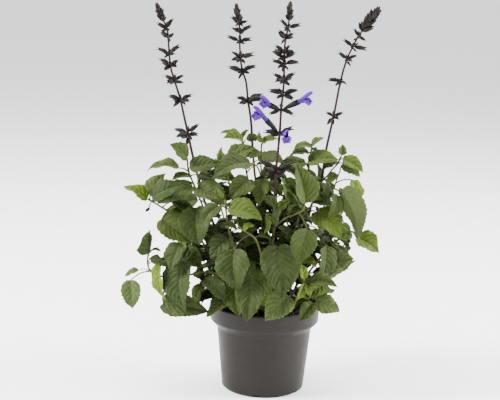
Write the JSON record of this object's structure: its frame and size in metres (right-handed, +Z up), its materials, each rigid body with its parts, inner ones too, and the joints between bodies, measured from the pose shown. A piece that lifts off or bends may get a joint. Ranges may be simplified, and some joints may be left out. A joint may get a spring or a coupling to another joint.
{
  "type": "potted perennial salvia",
  "caption": "Flowering perennial salvia with leafy stems and dark flower spikes, growing in a round plastic nursery pot.",
  "frame": {"origin": "middle of the pot's underside, on the surface that the pot stands on", "axes": "+Z up the plant, -Y towards its front, +X to the viewer's right"},
  "size_m": [0.4338, 0.3131, 0.6691],
  "materials": {
    "pot": "matte taupe grey",
    "soil": "crumbly moist peat",
    "foliage": "softly matte, finely veined leaf",
    "calyx": "matte, nearly black purple",
    "corolla": "softly matte violet petal"
  },
  "bodies": {
    "root": {"pot": "pot", "soil": "soil", "stem_3": "foliage", "shoot_centre_front": "foliage", "shoot_right_front": "foliage", "shoot_centre_left": "foliage", "shoot_left_low": "foliage", "shoot_left_high": "foliage", "shoot_left_top": "foliage", "shoot_top_right": "foliage", "stem_4": "foliage", "shoot_right_low": "foliage", "stem_1": "foliage", "stem_2": "foliage", "shoot_top_left": "foliage", "shoot_top_middle": "foliage", "shoot_top_centre": "foliage", "shoot_back_left": "foliage", "shoot_back_middle": "foliage", "shoot_back_right": "foliage", "shoot_back_low_left": "foliage", "shoot_back_low_right": "foliage", "shoot_back_low": "foliage", "spike_1": "calyx", "spike_2": "calyx", "spike_3": "calyx", "corolla_1": "corolla", "corolla_2": "corolla", "corolla_3": "corolla", "corolla_4": "corolla", "spike_4": "calyx", "bud_cluster_1": "calyx", "bud_cluster_2": "calyx", "bud_cluster_3": "calyx", "bud_cluster_4": "calyx", "bud_cluster_5": "calyx", "bud_cluster_6": "calyx", "bud_cluster_7": "calyx"}
  },
  "joints": []
}
